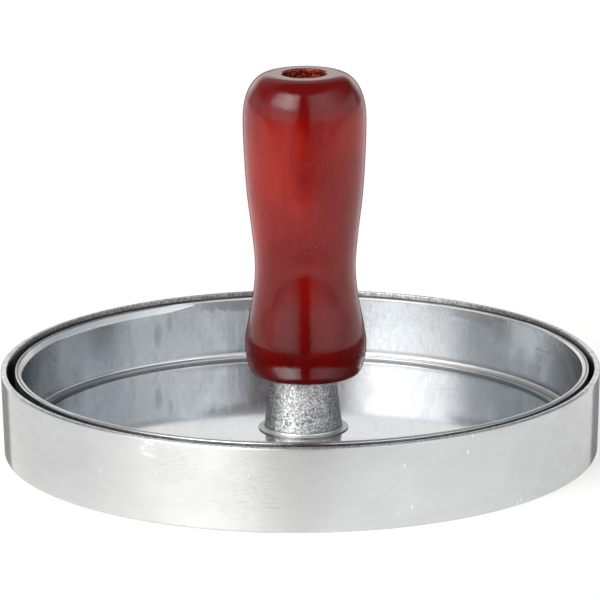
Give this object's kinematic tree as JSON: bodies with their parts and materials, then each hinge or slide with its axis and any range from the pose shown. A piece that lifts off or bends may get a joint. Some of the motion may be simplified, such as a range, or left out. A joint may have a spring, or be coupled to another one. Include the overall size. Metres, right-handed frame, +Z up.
{
  "type": "patty press",
  "caption": "Round hand press for burger patties: a thin loose mould ring and a flat dish-shaped press plate with an upright turned wooden handle.",
  "frame": {"origin": "centre of the mould ring, on the surface that the ring and the plate stand on", "axes": "+Z up, along the handle and the lifting direction; X and Y level, with the plate lying 0.35 mm, and its tapped hole, screw and handle 1.3 mm, off the ring's centre towards +X"},
  "size_m": [0.14, 0.14, 0.0894],
  "materials": {
    "ring_aluminium": "brushed round the ring, with handling scuffs",
    "plate_aluminium": "lathe-turned floor and rim, as-cast grain on the boss",
    "stained_wood": "red-brown stain under gloss lacquer",
    "zinc_steel": "zinc plated"
  },
  "bodies": {
    "mould": {"mould_ring": "ring_aluminium"},
    "press": {"press_plate": "plate_aluminium", "wood_handle": "stained_wood", "handle_screw": "zinc_steel", "flat_washer": "zinc_steel"}
  },
  "joints": [
    {"name": "press_lift", "type": "slide", "parent": "mould", "child": "press", "axis": [0, 0, 1], "range_m": [0, 0.03]}
  ]
}
